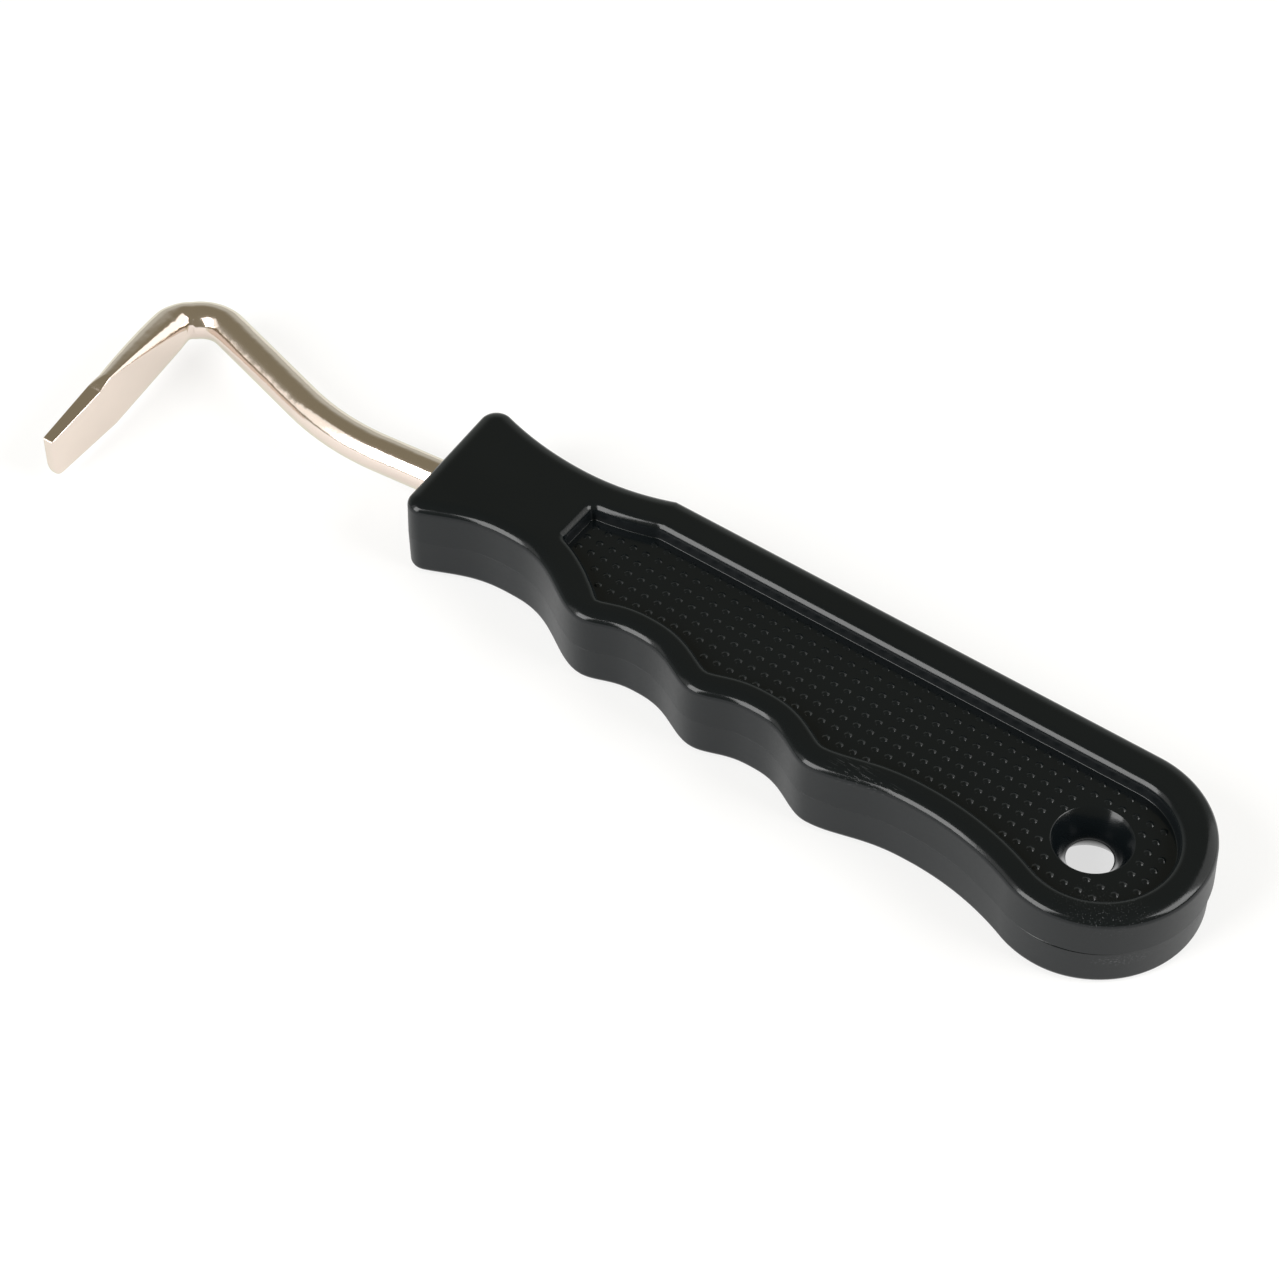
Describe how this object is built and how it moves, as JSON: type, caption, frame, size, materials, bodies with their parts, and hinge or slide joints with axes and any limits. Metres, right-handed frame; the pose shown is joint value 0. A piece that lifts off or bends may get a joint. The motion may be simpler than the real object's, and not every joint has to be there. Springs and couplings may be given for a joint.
{
  "type": "hoof pick",
  "caption": "Hand hoof pick: a bent plated steel rod with a flat chisel blade, in a flat black plastic handle with finger hollows and a hang hole.",
  "frame": {"origin": "centre of the tool's footprint on the surface that it lies on", "axes": "+X along the handle towards the round butt, so the hook is at -X; +Y towards the straight spine, so the finger hollows and the blade point to -Y; +Z through the handle's thickness"},
  "size_m": [0.1636, 0.0364, 0.0125],
  "materials": {
    "black_plastic": "semi-gloss moulded black plastic with fine scuffs",
    "plated_steel": "bright, slightly warm nickel-like plating over a pressed blade"
  },
  "bodies": {
    "root": {"upper_handle_shell": "black_plastic", "lower_handle_shell": "black_plastic", "steel_hook": "plated_steel"}
  },
  "joints": []
}
